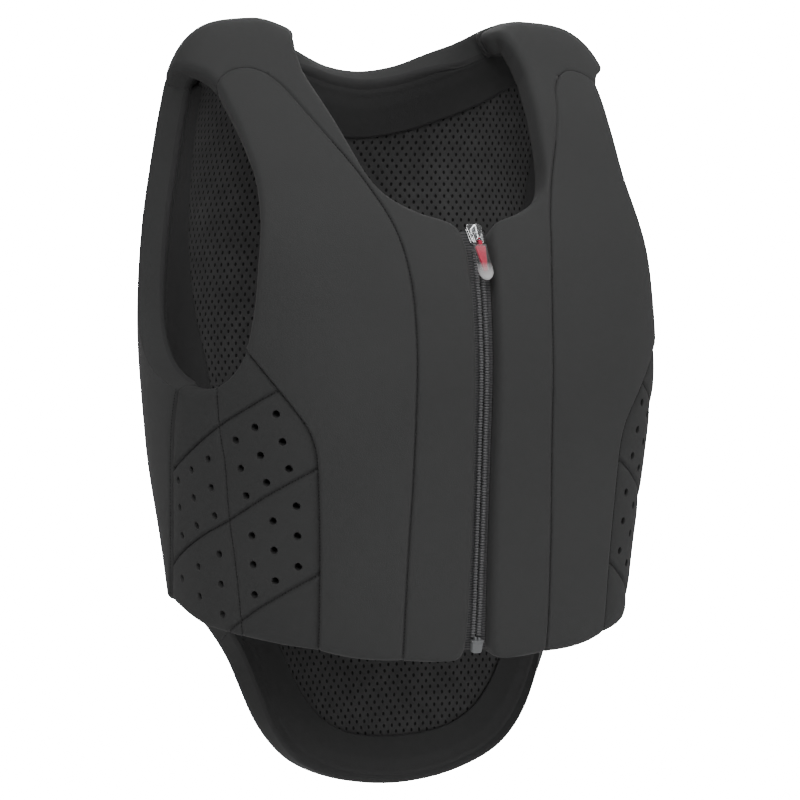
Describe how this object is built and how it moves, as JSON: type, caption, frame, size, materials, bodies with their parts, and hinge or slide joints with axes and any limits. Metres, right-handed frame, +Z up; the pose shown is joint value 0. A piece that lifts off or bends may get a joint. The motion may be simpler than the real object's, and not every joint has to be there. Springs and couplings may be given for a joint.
{
  "type": "equestrian body protector",
  "caption": "Zip-up padded riding vest with perforated side panels, mesh lining and a long rounded tail, in its worn shape.",
  "frame": {"origin": "midway between the undersides of the two shoulder straps, where the vest rests on the wearer", "axes": "+X towards the wearer's left, the front faces -Y, +Z up"},
  "size_m": [0.3816, 0.276, 0.5856],
  "materials": {
    "shell_cloth": "matt stretch cloth over soft foam",
    "side_cloth": "matt knitted stretch cloth, padded and perforated",
    "mesh_cloth": "black open mesh lining",
    "facing_cloth": "plain black facing cloth",
    "zip_tape": "woven tape",
    "zip_coil": "dark coil teeth",
    "box_plastic": "grey moulded end box",
    "slider_metal": "bright cast metal",
    "red_grip": "crimson moulded core",
    "clear_grip": "clear soft cover"
  },
  "bodies": {
    "vest": {"front_centre_right": "shell_cloth", "front_centre_left": "shell_cloth", "front_side_right": "shell_cloth", "front_side_left": "shell_cloth", "side_panel_right": "side_cloth", "side_panel_left": "side_cloth", "back_panel": "shell_cloth", "lining_front_right": "mesh_cloth", "lining_front_left": "mesh_cloth", "lining_back": "mesh_cloth", "neck_facing": "facing_cloth", "tail_facing": "facing_cloth", "armhole_facing_right": "facing_cloth", "armhole_facing_left": "facing_cloth", "zip_tape_right": "zip_tape", "zip_tape_left": "zip_tape", "zip_teeth": "zip_coil", "zip_box": "box_plastic", "zip_slider": "slider_metal"},
    "puller": {"puller_link": "slider_metal", "puller_core": "red_grip", "puller_cover": "clear_grip"}
  },
  "joints": [
    {"name": "puller_swing", "type": "hinge", "parent": "vest", "child": "puller", "pos_m": [0, -0.16018, -0.12938], "axis": [-1, 0, 0], "range_deg": [0, 150]}
  ]
}
